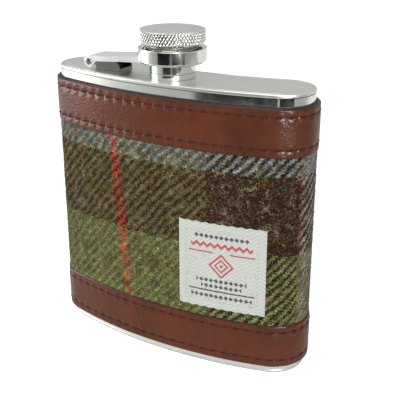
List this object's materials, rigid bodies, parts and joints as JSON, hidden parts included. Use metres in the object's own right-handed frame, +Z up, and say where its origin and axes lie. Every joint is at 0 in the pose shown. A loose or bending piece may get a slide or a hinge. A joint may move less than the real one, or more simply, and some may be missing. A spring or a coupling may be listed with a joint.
{
  "type": "hip flask",
  "caption": "Curved pocket hip flask in a tartan cloth and leather wrap, with a knurled screw cap held captive in the collar of a hinged arm.",
  "frame": {"origin": "on the table, under the middle of the flask's box", "axes": "+Z up out of the mouth's end; the bulging face looks along -Y; the arm's hinge is towards -X"},
  "size_m": [0.096, 0.0298, 0.1091],
  "materials": {
    "polished_steel": "polished stainless steel",
    "brushed_steel": "satin stainless steel",
    "gasket": "translucent white silicone",
    "backing": "black glued backing",
    "tweed": "woollen 2/2 twill in olive, brown, grey-blue and red",
    "leather": "red-brown, waxed",
    "thread": "dark red-brown waxed thread",
    "label": "off-white woven herringbone, blank"
  },
  "bodies": {
    "flask": {"body_wall": "polished_steel", "top_plate": "brushed_steel", "base_plate": "brushed_steel", "neck": "polished_steel", "hinge_bracket": "polished_steel", "hinge_pin": "brushed_steel", "wrap_backing": "backing", "tweed_panel": "tweed", "leather_band_upper": "leather", "leather_band_lower": "leather", "upper_stitches_1": "thread", "upper_stitches_2": "thread", "lower_stitches_1": "thread", "lower_stitches_2": "thread", "front_label": "label"},
    "arm": {"arm_strap": "polished_steel", "arm_collar": "polished_steel"},
    "washer": {"cap_gasket": "gasket"},
    "cap": {"cap_knob": "brushed_steel", "cap_socket": "polished_steel"}
  },
  "joints": [
    {"name": "arm_swing", "type": "hinge", "parent": "flask", "child": "arm", "pos_m": [-0.03, -0.00236, 0.09635], "axis": [0, -1, 0], "range_deg": [0, 175]},
    {"name": "cap_lift", "type": "slide", "parent": "arm", "child": "washer", "axis": [0, 0, 1], "range_m": [0, 0.002]},
    {"name": "cap_spin", "type": "hinge", "parent": "washer", "child": "cap", "pos_m": [0, -0.00236, 0.1], "axis": [0, 0, 1], "range_deg": [0, 481]}
  ],
  "couplings": [
    {"joint": "cap_spin", "follows": "cap_lift", "rad_per_m": 4188.8}
  ]
}
